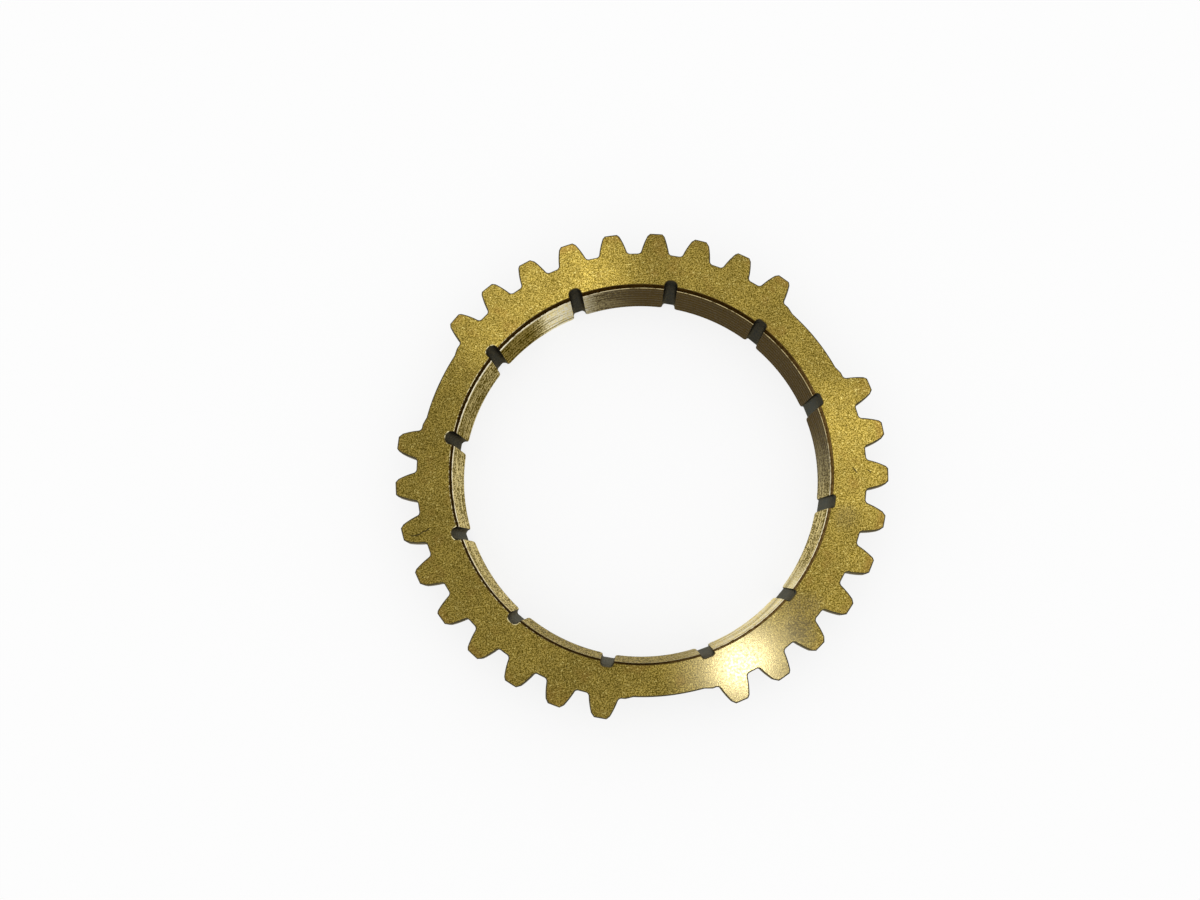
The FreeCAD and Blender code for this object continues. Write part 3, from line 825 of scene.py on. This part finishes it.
    def line(self, start, end, width):
        """One along a fine uneven line from one point in millimetres to another."""
        along = (end - start).normalized()
        across = Vector((-along.y, along.x, 0))
        offset = self.vector("SUBTRACT", self.place, start * MM)
        run = self.vector("DOT_PRODUCT", offset, along, output="Value")
        aside = self.vector("DOT_PRODUCT", offset, across, output="Value")
        sway, fade = LINE_SWAY * MM, LINE_FADE * MM
        swayed = self.math("ADD", aside, self.spread(self.noise(0.9, 2.0), 0.2, 0.8, -sway, sway))
        share = self.spread(self.math("ABSOLUTE", swayed), width * MM, width * MM / 3)
        length = (end - start).length * MM
        share = self.math("MULTIPLY", share, self.spread(run, -fade, fade))
        return self.math("MULTIPLY", share, self.spread(run, length + fade, length - fade))

    def bump(self, height, depth, before=None):
        """Relief of a depth in millimetres."""
        inputs = {"Height": height, "Distance": depth * MM, "Strength": 1.0}
        if before is not None:
            inputs["Normal"] = before
        return self.node("ShaderNodeBump", inputs).outputs[0]

    def glance(self, level, tint=None):
        """How much the surface reflects at a glancing angle, and in which colour."""
        self.feed(self.shader.inputs["Specular IOR Level"], level)
        if tint is not None:
            self.feed(self.shader.inputs["Specular Tint"], tint)

    def finish(self, colour, rough, normal, metallic=1.0):
        self.feed(self.shader.inputs["Base Color"], colour)
        self.feed(self.shader.inputs["Roughness"], rough)
        self.feed(self.shader.inputs["Metallic"], metallic)
        self.feed(self.shader.inputs["Normal"], normal)
        return self.material


def photo_place(angle, radius):
    """A point of the face given as the photograph shows it: its angle there and its radius."""
    return lift(direction(angle - PHOTO_TURN) * radius, HEIGHT)


# Colours, in the linear values of the shader; a pair is a dark and a light one
WHITE = (1, 1, 1, 1)
OLIVE = (0.1, 0.071, 0.006, 1)
GOLD = (0.315, 0.232, 0.053, 1)
# Painted highlight colour of the pale patch in the lamp's glare
GLARE_PALE_GOLD = (0.34, 0.29, 0.165, 1)
PALE_FLECK = (0.6, 0.5, 0.17, 1)
DARK_FLECK = (0.055, 0.037, 0.001, 1)
BROWN_TINT = (0.2, 0.115, 0.024, 1)
STAIN = (0.1, 0.078, 0.042, 1)
PIT = (0.03, 0.022, 0.008, 1)
# Painted shade of the flanks and broken edges
EDGE_SHADE_GREY = (0.05, 0.044, 0.03, 1)
FLANK_SHADE_BROWN = (0.12, 0.09, 0.028, 1)
CONE_DARK = (0.05, 0.04, 0.016, 1)
CONE_BRIGHT = (0.93, 0.81, 0.43, 1)
# Painted highlight and painted reflection colour of the cone
CONE_PAINTED_HIGHLIGHT = (1.0, 0.97, 0.8, 1)
# Painted dark reflection: the dark brown of one side of the cone
CONE_DARK_REFLECTION = ((0.043, 0.024, 0.002, 1), (0.075, 0.044, 0.005, 1))
# Painted shade in the relief's recess, and its lighter painted side
RELIEF_SHADE = ((0.018, 0.008, 0.001, 1), (0.06, 0.03, 0.005, 1))
RELIEF_LIGHTER_SHADE = ((0.06, 0.028, 0.006, 1), (0.2, 0.12, 0.035, 1))
RIM_DULL = (0.12, 0.085, 0.022, 1)
# Painted highlight on the rim
RIM_HIGHLIGHT = (0.85, 0.75, 0.42, 1)
# Painted highlight along the shoulder, with its dull, dark-reflection and shaded colours
SHOULDER_DULL = (0.2, 0.15, 0.06, 1)
SHOULDER_HIGHLIGHT = (0.95, 0.85, 0.6, 1)
SHOULDER_DARK_REFLECTION = (0.7, 0.58, 0.3, 1)
SHOULDER_SHADED = (0.1, 0.075, 0.03, 1)
SLATE = ((0.005, 0.006, 0.008, 1), (0.062, 0.074, 0.078, 1))
GLANCING_TINT = (0.85, 0.72, 0.42, 1)

# Marks on the face. A place is an angle as photographed and a radius; a stain has a size and
# a strength too, and the painted highlight patch a size. The teeth are tinted from a radius
# outwards.
STAINS = ((318.3, 32.2, 2.1, 0.65), (320.4, 33.9, 1.9, 0.6), (314.8, 34.6, 2.4, 0.85),
          (315.2, 36.8, 1.2, 0.5), (347.0, 33.0, 1.7, 0.35))
CRACK = ((196.0, 37.7), (196.1, 36.2), (195.5, 34.6))
CRACK_WIDTH = 0.17
NICKS = (((359.9, 35.7), (359.2, 36.3)), ((359.0, 34.1), (0.4, 33.4)))
NICK_WIDTH = 0.16
TINTED_TIPS = 37.3
GLARE_PATCH = (297.3, 34.6)
GLARE_PATCH_SIZE = 8.0

# Sectors of the bore: angle as photographed, half-width and, where they differ, strength. They
# place a painted dark reflection, painted reflections, painted dimming, painted shade, the
# lighter painted side of the relief, painted highlights on the rim, and darker scale in the
# grooves.
DARK_REFLECTION_SIDE = (54, 55)
PAINTED_REFLECTIONS = ((305, 22), (113.5, 8))
# Painted shade: sectors of the cone darkened by a tint
PAINTED_DIMMING = ((134, 10, 1.0), (155, 20, 0.62), (262, 30, 0.76))
PAINTED_DIMMING_TINT = (0.28, 0.25, 0.17)
SHADED = (256, 36)
RELIEF_LIT_SIDE = (340, 55)
RIM_HIGHLIGHT_SIDE = (185, 55)
DARK_SCALE = (110, 85)

# The painted highlight band at the top of the cone: how far below the shoulder it starts and is
# full
BAND_START = 0.5
BAND_FULL = 0.3


def face_finish():
    """Tumbled brass: gritty, olive to gold, with flecks painted as glints and specks of shade,
    pits, a few stains and a painted highlight patch.
    """
    n = Nodes("brass_face")
    grit = n.noise(0.2, 1.0, 0.6)
    mottle = n.noise(1.1, 3.0, 0.6)
    patches = n.noise(8.0, 2.0, 0.5)
    share = n.math("ADD", n.math("MULTIPLY", mottle, 0.5), n.math("MULTIPLY", patches, 0.5))
    tone = n.spread(share, 0.3, 0.7, 0.84, 1.26)
    colour = n.mix(n.spread(grit, 0.42, 0.58), OLIVE, GOLD)
    colour = n.dimmed(colour, tone)
    tips = n.spread(n.reach(), TINTED_TIPS * MM, (TINTED_TIPS + 1) * MM)
    tips = n.math("MULTIPLY", tips, n.spread(patches, 0.4, 0.6, 0.0, 0.5))
    tint = n.math("MAXIMUM", tips, n.spread(n.noise(3.5, 2.0), 0.55, 0.75, 0.0, 0.4))
    colour = n.mix(tint, colour, BROWN_TINT)
    # Flecks: the pale ones are painted glints and the dark ones painted specks of shade
    flecks = n.noise(0.3, 1.0, 0.5)
    colour = n.mix(n.spread(flecks, 0.63, 0.75, 0.0, 0.6), colour, PALE_FLECK)
    colour = n.mix(n.spread(flecks, 0.4, 0.3, 0.0, 0.7), colour, DARK_FLECK)
    colour = n.mix(n.math("MULTIPLY", n.pits(1.7, 0.11), 0.8), colour, PIT)
    stain = n.any_of([n.math("MULTIPLY", n.near(photo_place(angle, radius), size), strength)
                      for angle, radius, size, strength in STAINS])
    stain = n.math("MULTIPLY", stain, n.spread(n.noise(0.35, 2.0, 0.7), 0.3, 0.7, 0.4, 1.0))
    colour = n.mix(stain, colour, STAIN)
    # Painted highlight: a pale patch where the lamp's glare falls on the face
    glare_patch = n.near(photo_place(*GLARE_PATCH), GLARE_PATCH_SIZE)
    colour = n.mix(n.math("MULTIPLY", glare_patch, 0.7), colour, GLARE_PALE_GOLD)
    places = [photo_place(*place) for place in CRACK]
    lines = [n.line(start, end, CRACK_WIDTH) for start, end in zip(places, places[1:])]
    lines += [n.line(photo_place(*start), photo_place(*end), NICK_WIDTH) for start, end in NICKS]
    colour = n.mix(n.math("MULTIPLY", n.any_of(lines), 0.9), colour, PIT)
    rough = n.spread(n.noise(0.4, 2.0), 0.3, 0.7, 0.08, 0.16)
    rough = n.math("MAXIMUM", rough, n.math("MULTIPLY", stain, 0.45))
    normal = n.bump(grit, 0.0015)
    normal = n.bump(n.noise(12.0, 1.0), 0.035, normal)
    return n.finish(colour, rough, normal)


def flank_finish():
    """Forged flanks and broken edges, painted darker than the faces as shade on walls and edges,
    and duller.
    """
    n = Nodes("brass_flank")
    patches = n.noise(1.6, 4.0, 0.65)
    grit = n.noise(0.3, 2.0, 0.6)
    # Painted shade on the flanks and edges
    colour = n.mix(n.spread(patches, 0.4, 0.75), EDGE_SHADE_GREY, FLANK_SHADE_BROWN)
    n.glance(0.2, GLANCING_TINT)
    normal = n.bump(grit, 0.015)
    return n.finish(colour, n.spread(patches, 0.3, 0.7, 0.4, 0.6), normal, 0.6)


def turned_finish():
    """Collar and small end, turned and lightly worn."""
    n = Nodes("brass_turned")
    marks = n.noise(1.0, 2.0, 0.6, n.stretched(0.05, 8.0))
    patches = n.noise(3.0, 3.0, 0.6)
    grit = n.noise(0.25, 2.0, 0.7)
    share = n.math("ADD", n.math("MULTIPLY", marks, 0.4), n.math("MULTIPLY", patches, 0.3))
    share = n.math("ADD", share, n.math("MULTIPLY", grit, 0.3))
    colour = n.mix(n.spread(share, 0.38, 0.62), OLIVE, GOLD)
    normal = n.bump(marks, 0.01)
    return n.finish(colour, n.spread(patches, 0.3, 0.7, 0.25, 0.4), normal)


def thread_finish():
    """The friction cone: painted reflections and a painted highlight band, painted shade in its
    thread and in dim sectors, and a painted dark reflection on one side of the bore.
    """
    n = Nodes("brass_thread")
    marks = n.noise(1.0, 3.0, 0.7, n.stretched(0.15, 1.6))
    grit = n.noise(0.26, 1.0, 0.6, n.stretched(0.95, 0.5))
    coarse = n.noise(0.28, 1.0, 0.6, n.stretched(1.0, 0.35))
    share = n.math("ADD", n.math("MULTIPLY", marks, 0.45), n.math("MULTIPLY", grit, 0.55))
    share = n.mix(n.sector(*SHADED), share, coarse)
    # Painted reflections: sectors of the cone painted brighter, broken by dark streaks
    painted_reflection = n.any_of([n.sector(*patch) for patch in PAINTED_REFLECTIONS])
    # Painted shade: sectors of the cone darkened by a tint
    dimming_paint = n.any_of([n.math("MULTIPLY", n.sector(angle, half), strength)
                     for angle, half, strength in PAINTED_DIMMING])
    bright = n.mix(painted_reflection, CONE_BRIGHT, CONE_PAINTED_HIGHLIGHT)
    dark = n.mix(painted_reflection, CONE_DARK, CONE_BRIGHT)
    colour = n.mix(n.spread(share, 0.45, 0.55), dark, bright)
    # Painted shade in the grooves of the thread, kept only along streaks where the reflections
    # are painted
    painted_shade = n.math("MULTIPLY", n.thread_groove(), n.spread(marks, 0.3, 0.65, 0.95, 0.5))
    streaks = n.noise(1.0, 1.0, 0.5, n.stretched(0.08, 0.6))
    kept = n.mix(painted_reflection, WHITE, n.spread(streaks, 0.5, 0.58, 0.05, 1.0))
    painted_shade = n.math("MULTIPLY", painted_shade, kept)
    colour = n.mix(painted_shade, colour, CONE_DARK)
    painted_light = n.math("MULTIPLY", painted_reflection, n.spread(streaks, 0.56, 0.66, 0.0, 0.4))
    colour = n.mix(painted_light, colour, CONE_DARK)
    colour = n.mix(dimming_paint, colour, n.vector("MULTIPLY", colour, PAINTED_DIMMING_TINT))
    # Painted highlight: a bright band below the shoulder, faint in the shaded sector
    band = n.spread(n.along((0, 0, 1)), (SHOULDER_LEVEL - BAND_START) * MM,
                    (SHOULDER_LEVEL - BAND_FULL) * MM)
    band = n.math("MULTIPLY", band, n.spread(n.noise(1.2, 2.0), 0.35, 0.5, 0.3, 0.9))
    band = n.math("MULTIPLY", band, n.spread(n.sector(*SHADED), 0.0, 1.0, 1.0, 0.1))
    colour = n.mix(band, colour, CONE_PAINTED_HIGHLIGHT)
    # Painted dark reflection: one side of the cone painted dark brown, rougher and less metallic
    dark_reflection = n.sector(*DARK_REFLECTION_SIDE)
    colour = n.mix(dark_reflection, colour, n.mix(n.spread(share, 0.3, 0.7), *CONE_DARK_REFLECTION))
    rough = n.math("ADD", n.spread(grit, 0.3, 0.7, 0.2, 0.4), n.math("MULTIPLY", dark_reflection, 0.3))
    n.glance(0.2, GLANCING_TINT)
    return n.finish(colour, rough, n.bump(grit, 0.012), n.spread(dark_reflection, 0.0, 1.0, 1.0, 0.3))


def relief_finish():
    """The relief beside the cone, painted dark as shade in the recess and lighter on one side
    where light falls.
    """
    n = Nodes("brass_relief")
    grit = n.noise(0.4, 3.0, 0.6)
    painted_shade = n.mix(n.spread(grit, 0.4, 0.75), *RELIEF_SHADE)
    lighter_shade = n.mix(n.spread(grit, 0.35, 0.65), *RELIEF_LIGHTER_SHADE)
    # Painted shade, lighter on one side of the bore
    colour = n.mix(n.sector(*RELIEF_LIT_SIDE), painted_shade, lighter_shade)
    n.glance(0.0)
    return n.finish(colour, 0.6, n.bump(grit, 0.01), 0.0)


def rim_finish():
    """The broken edge between the face and the bore, with painted highlights here and there on
    one side.
    """
    n = Nodes("brass_rim")
    wear = n.noise(0.5, 2.0, 0.6)
    # Painted highlights: bright spots along the rim on one side
    painted_light = n.math("MULTIPLY", n.spread(wear, 0.48, 0.58), n.sector(*RIM_HIGHLIGHT_SIDE))
    return n.finish(n.mix(painted_light, RIM_DULL, RIM_HIGHLIGHT), 0.3, n.bump(wear, 0.01))


def shoulder_finish():
    """The narrow edge where the cone meets the relief, painted bright as a highlight, with a
    painted dark reflection on one side and painted shade in one sector.
    """
    n = Nodes("brass_shoulder")
    wear = n.noise(0.8, 3.0, 0.6)
    # Painted highlight, darker where the dark reflection is painted
    painted_light = n.mix(n.sector(*DARK_REFLECTION_SIDE), SHOULDER_HIGHLIGHT, SHOULDER_DARK_REFLECTION)
    colour = n.mix(n.spread(wear, 0.35, 0.55), SHOULDER_DULL, painted_light)
    colour = n.mix(n.sector(*SHADED), colour, SHOULDER_SHADED)
    return n.finish(colour, n.spread(wear, 0.3, 0.7, 0.3, 0.2), n.bump(wear, 0.01))


def scale_finish():
    """Forging scale in the grooves, slate grey and nearly matt."""
    n = Nodes("forging_scale")
    patches = n.noise(0.6, 4.0, 0.7)
    centred = n.vector("SUBTRACT", n.place, lift(CORE_SHIFT, 0) * MM)
    level = n.along((0, 0, 1))
    depth = n.math("SUBTRACT", n.reach(centred), n.math("MULTIPLY", level, OIL_GROOVE_LEAN))
    floor = n.spread(depth, (OIL_GROOVE_FLOOR_RADIUS - 0.4) * MM,
                     (OIL_GROOVE_FLOOR_RADIUS - 0.05) * MM)
    floor = n.math("MULTIPLY", floor, n.spread(level, 8.5 * MM, 4.0 * MM, 0.35, 1.0))
    floor = n.math("MULTIPLY", floor, n.spread(patches, 0.3, 0.7, 0.5, 1.0))
    floor = n.math("MULTIPLY", floor, n.spread(n.sector(*DARK_SCALE), 0.0, 1.0, 1.0, 0.3))
    colour = n.mix(floor, *SLATE)
    n.glance(0.12, GLANCING_TINT)
    return n.finish(colour, n.spread(patches, 0.3, 0.7, 0.45, 0.65), n.bump(patches, 0.03), 0.6)


# The floor: half its width, its colour, and how far it is drawn white where it is seen
FLOOR_REACH = 1500.0
FLOOR_COLOUR = (0.88, 0.88, 0.88, 1)
FLOOR_WHITENED = 0.8


def floor_material():
    """Pale floor: seen nearly white, yet it keeps part of the shadow on it."""
    n = Nodes("floor")
    n.feed(n.shader.inputs["Base Color"], FLOOR_COLOUR)
    n.feed(n.shader.inputs["Roughness"], 0.9)
    n.glance(0.0)
    path = n.node("ShaderNodeLightPath", {})
    seen = n.math("MAXIMUM", path.outputs["Is Camera Ray"], path.outputs["Is Glossy Ray"])
    seen = n.math("MAXIMUM", seen, path.outputs["Is Transmission Ray"])
    white = n.node("ShaderNodeEmission", {"Color": WHITE, "Strength": 1.0})
    blend = n.node("ShaderNodeMixShader", {0: n.math("MULTIPLY", seen, FLOOR_WHITENED)})
    n.feed(blend.inputs[1], n.shader.outputs[0])
    n.feed(blend.inputs[2], white.outputs[0])
    n.feed(n.tree.nodes["Material Output"].inputs["Surface"], blend.outputs[0])
    return n.material


def build_floor():
    half = FLOOR_REACH * MM
    corners = [(-half, -half, 0), (half, -half, 0), (half, half, 0), (-half, half, 0)]
    mesh = bpy.data.meshes.new("floor")
    mesh.from_pydata(corners, [], [(0, 1, 2, 3)])
    mesh.materials.append(floor_material())
    floor = bpy.data.objects.new("floor", mesh)
    bpy.context.scene.collection.objects.link(floor)


def build_world():
    """A white surround, at the level at which a colour is seen as it is written."""
    world = bpy.data.worlds.new("surround")
    world.use_nodes = True
    background = world.node_tree.nodes["Background"]
    background.inputs["Color"].default_value = WHITE
    background.inputs["Strength"].default_value = 1.0
    bpy.context.scene.world = world


# Each lamp: its name, the angle and radius of the place on the face in which the camera sees
# it, its distance from there, its diameter and its power in watts
LAMPS = (("glare_lamp", 297.0, 34.2, 600, 28, 0.026),
         ("glow_lamp", 296.0, 34.5, 600, 90, 0.0055),
         ("top_lamp", 121.0, 33.5, 800, 145, 0.067),
         ("spot_lamp", 101.5, 33.5, 800, 50, 0.0085),
         ("corner_lamp", 55.0, 33.5, 800, 156, 0.02),
         ("right_lamp", 8.0, 33.0, 800, 112, 0.028),
         ("side_lamp", 345.0, 33.0, 800, 229, 0.075))


def lamp_seen_in_face(name, angle, radius, distance, size, watts):
    """A soft lamp whose reflection the camera sees at one place of the front face."""
    place = photo_place(angle, radius)
    ray = (place - CAMERA_PLACE).normalized()
    away = Vector((ray.x, ray.y, -ray.z))
    data = bpy.data.lights.new(name, "AREA")
    data.shape = "DISK"
    data.size = size * MM
    data.energy = watts
    lamp = bpy.data.objects.new(name, data)
    lamp.location = (place + away * distance) * MM
    lamp.rotation_euler = away.to_track_quat("Z", "Y").to_euler()
    bpy.context.scene.collection.objects.link(lamp)


def build_camera():
    data = bpy.data.cameras.new("camera")
    data.lens = LENS
    data.sensor_width = SENSOR_WIDTH
    data.clip_start = CLIP_START * MM
    camera = bpy.data.objects.new("camera", data)
    ahead = (CAMERA_AIM - CAMERA_PLACE).normalized()
    right = ahead.cross(lift(direction(90 - PHOTO_TURN), 0)).normalized()
    above = right.cross(ahead)
    turn = Matrix((right, above, -ahead)).transposed().to_4x4()
    camera.matrix_world = Matrix.Translation(CAMERA_PLACE * MM) @ turn
    bpy.context.scene.collection.objects.link(camera)
    bpy.context.scene.camera = camera


ring = build_ring()
for make in (face_finish, flank_finish, turned_finish, thread_finish, relief_finish,
             rim_finish, shoulder_finish, scale_finish):
    ring.data.materials.append(make())
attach(ring, "root")
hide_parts(RING)

build_floor()
build_world()
for lamp in LAMPS:
    lamp_seen_in_face(*lamp)
build_camera()
bpy.context.scene.view_settings.view_transform = "Standard"
